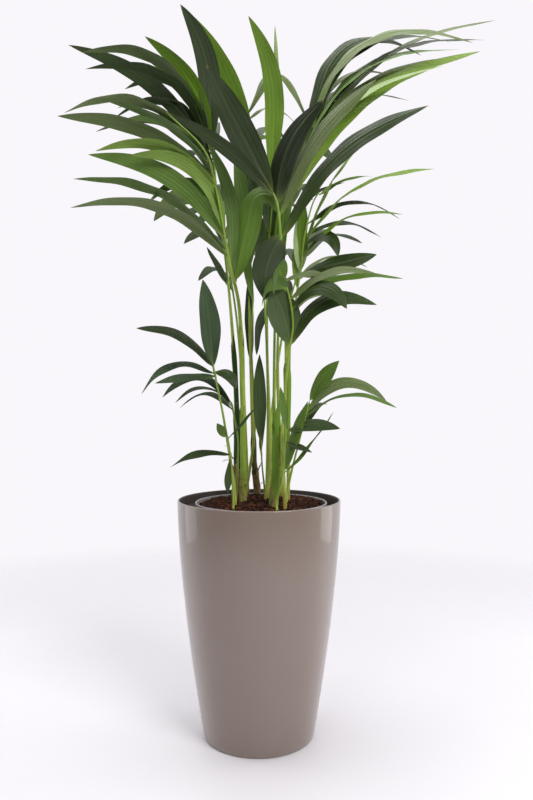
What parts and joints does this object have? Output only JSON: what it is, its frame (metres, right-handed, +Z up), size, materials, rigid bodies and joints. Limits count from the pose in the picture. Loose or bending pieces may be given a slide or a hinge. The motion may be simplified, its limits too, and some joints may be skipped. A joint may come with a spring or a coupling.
{
  "type": "potted palm",
  "caption": "Potted kentia-type palm: slender stalks with long arching leaflets, planted in a nursery pot that lifts out of a tall tapered glossy planter.",
  "frame": {"origin": "middle of the planter's underside, on the surface it stands on", "axes": "+Z up, +X to the right and -Y towards a viewer of the front"},
  "size_m": [0.8926, 0.6532, 1.483],
  "materials": {
    "planter": "high gloss taupe lacquer",
    "nursery_pot": "satin moulded",
    "riser": "matt moulded",
    "soil": "loose coir compost",
    "trunk_brown": "fibrous sheath",
    "trunk_green": "smooth green stem with papery sheath",
    "frond_dark": "waxy leaf",
    "frond_mid": "waxy leaf",
    "frond_light": "waxy leaf"
  },
  "bodies": {
    "root": {"planter": "planter", "riser": "riser", "nursery_pot": "nursery_pot", "soil": "soil", "trunk_back_left": "trunk_brown", "trunk_front_left": "trunk_brown", "trunk_back_centre": "trunk_brown", "trunk_front_right": "trunk_green", "frond_front_left": "frond_mid", "frond_back_left": "frond_dark", "frond_back_centre": "frond_mid", "frond_front_centre": "frond_dark", "frond_centre_tall": "frond_mid", "frond_high_right": "frond_dark", "frond_mid_right": "frond_light", "frond_low_front_right": "frond_dark", "frond_low_left": "frond_dark", "leaf_arching_left": "frond_dark", "seedling_left": "frond_dark", "young_leaf_centre": "frond_mid", "frond_low_right": "frond_mid", "seedling_right": "frond_dark", "spear_left": "frond_light", "spear_centre": "frond_light", "spear_right": "frond_light", "frond_rear_left": "frond_dark", "frond_rear_right": "frond_dark"}
  },
  "joints": []
}
